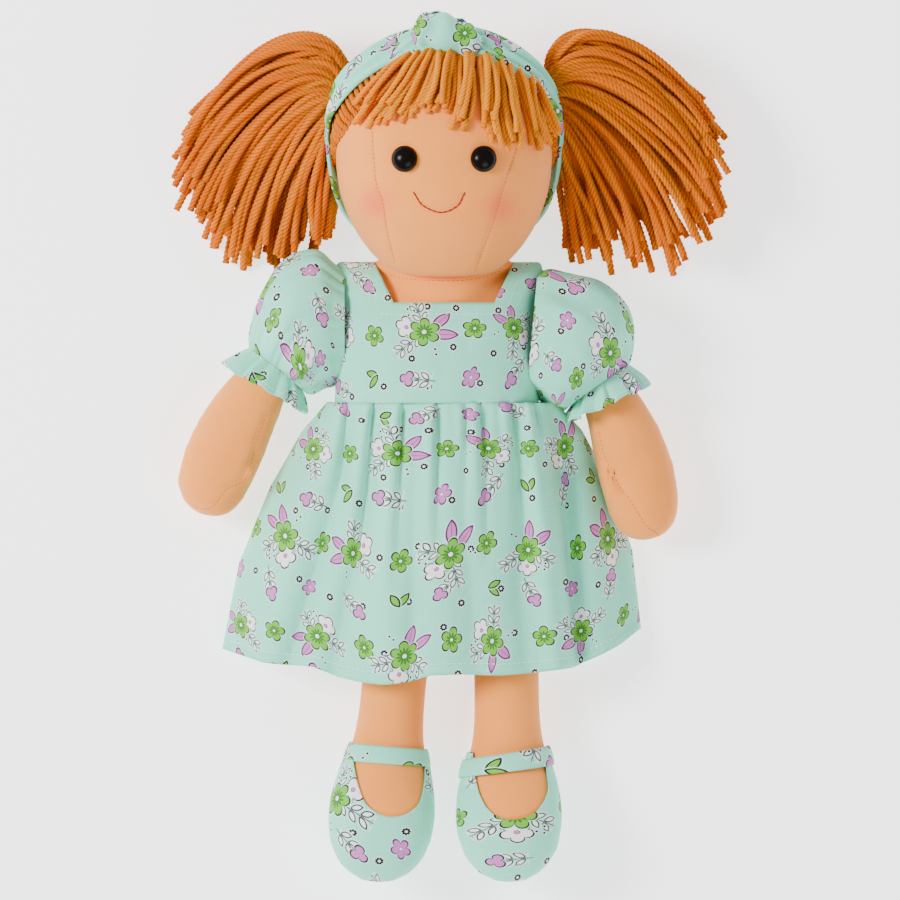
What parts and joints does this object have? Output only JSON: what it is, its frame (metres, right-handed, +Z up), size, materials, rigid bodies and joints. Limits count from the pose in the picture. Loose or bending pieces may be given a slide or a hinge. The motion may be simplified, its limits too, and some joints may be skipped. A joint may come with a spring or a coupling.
{
  "type": "rag doll",
  "caption": "Stuffed cloth rag doll with yarn hair in bunches, a printed cotton dress with puffed sleeves, a knotted headband and strap shoes, lying on its back.",
  "frame": {"origin": "a point on the flat of the dress's back, which the doll lies on", "axes": "+Z up out of the doll's face, +Y towards the top of its head, +X towards its own left arm"},
  "size_m": [0.2199, 0.3511, 0.0868],
  "materials": {
    "skin_cloth": "brushed knit cotton over stuffing",
    "dress_cloth": "printed cotton",
    "hair_yarn": "plied yarn",
    "fringe_yarn": "plied yarn, lighter",
    "eye_black": "gloss",
    "washer_white": "moulded",
    "elastic_white": "woven elastic"
  },
  "bodies": {
    "torso": {"torso": "skin_cloth", "bodice": "dress_cloth"},
    "head": {"head": "skin_cloth", "eye_left": "eye_black", "eye_right": "eye_black", "eye_washer_left": "washer_white", "eye_washer_right": "washer_white", "hair_cap": "hair_yarn", "fringe": "fringe_yarn", "headband": "dress_cloth", "headband_knot": "dress_cloth", "hair_tie_left": "hair_yarn", "hair_tie_right": "hair_yarn"},
    "pigtail_left": {"pigtail_left": "hair_yarn"},
    "pigtail_right": {"pigtail_right": "hair_yarn"},
    "shoulder_left": {"sleeve_left": "dress_cloth"},
    "shoulder_right": {"sleeve_right": "dress_cloth"},
    "arm_left": {"arm_left": "skin_cloth", "cuff_frill_left": "dress_cloth", "cuff_elastic_left": "elastic_white"},
    "arm_right": {"arm_right": "skin_cloth", "cuff_frill_right": "dress_cloth", "cuff_elastic_right": "elastic_white"},
    "hips": {"skirt": "dress_cloth"},
    "leg_left": {"leg_left": "skin_cloth", "shoe_left": "dress_cloth", "shoe_strap_left": "dress_cloth"},
    "leg_right": {"leg_right": "skin_cloth", "shoe_right": "dress_cloth", "shoe_strap_right": "dress_cloth"}
  },
  "joints": [
    {"name": "neck_nod", "type": "hinge", "parent": "torso", "child": "head", "pos_m": [0, 0.0262, 0.0258], "axis": [1, 0, 0], "range_deg": [-12, 12]},
    {"name": "pigtail_left_swing", "type": "hinge", "parent": "head", "child": "pigtail_left", "pos_m": [0.0413, 0.1038, 0.035], "axis": [0, 0, 1], "range_deg": [0, 30], "deforming": ["pigtail_left"]},
    {"name": "pigtail_right_swing", "type": "hinge", "parent": "head", "child": "pigtail_right", "pos_m": [-0.0428, 0.1015, 0.035], "axis": [0, 0, -1], "range_deg": [0, 30], "deforming": ["pigtail_right"]},
    {"name": "shoulder_left_raise", "type": "hinge", "parent": "torso", "child": "shoulder_left", "pos_m": [0.0432, 0.007, 0.0258], "axis": [0, 0, 1], "range_deg": [0, 55], "deforming": ["sleeve_left"]},
    {"name": "shoulder_right_raise", "type": "hinge", "parent": "torso", "child": "shoulder_right", "pos_m": [-0.0455, 0.01, 0.0258], "axis": [0, 0, -1], "range_deg": [0, 55], "deforming": ["sleeve_right"]},
    {"name": "arm_left_swing", "type": "hinge", "parent": "shoulder_left", "child": "arm_left", "pos_m": [0.0432, 0.007, 0.0258], "axis": [-0.4226, -0.9063, 0], "range_deg": [0, 75]},
    {"name": "arm_right_swing", "type": "hinge", "parent": "shoulder_right", "child": "arm_right", "pos_m": [-0.0455, 0.01, 0.0258], "axis": [-0.4226, 0.9063, 0], "range_deg": [0, 75]},
    {"name": "hip_fold", "type": "hinge", "parent": "torso", "child": "hips", "pos_m": [0, -0.068, 0.0258], "axis": [-1, 0, 0], "range_deg": [0, 90], "deforming": ["skirt"]},
    {"name": "leg_left_spread", "type": "hinge", "parent": "hips", "child": "leg_left", "pos_m": [0.034, -0.068, 0.0258], "axis": [0, 0, 1], "range_deg": [0, 8]},
    {"name": "leg_right_spread", "type": "hinge", "parent": "hips", "child": "leg_right", "pos_m": [-0.026, -0.068, 0.0258], "axis": [0, 0, -1], "range_deg": [0, 8]}
  ]
}
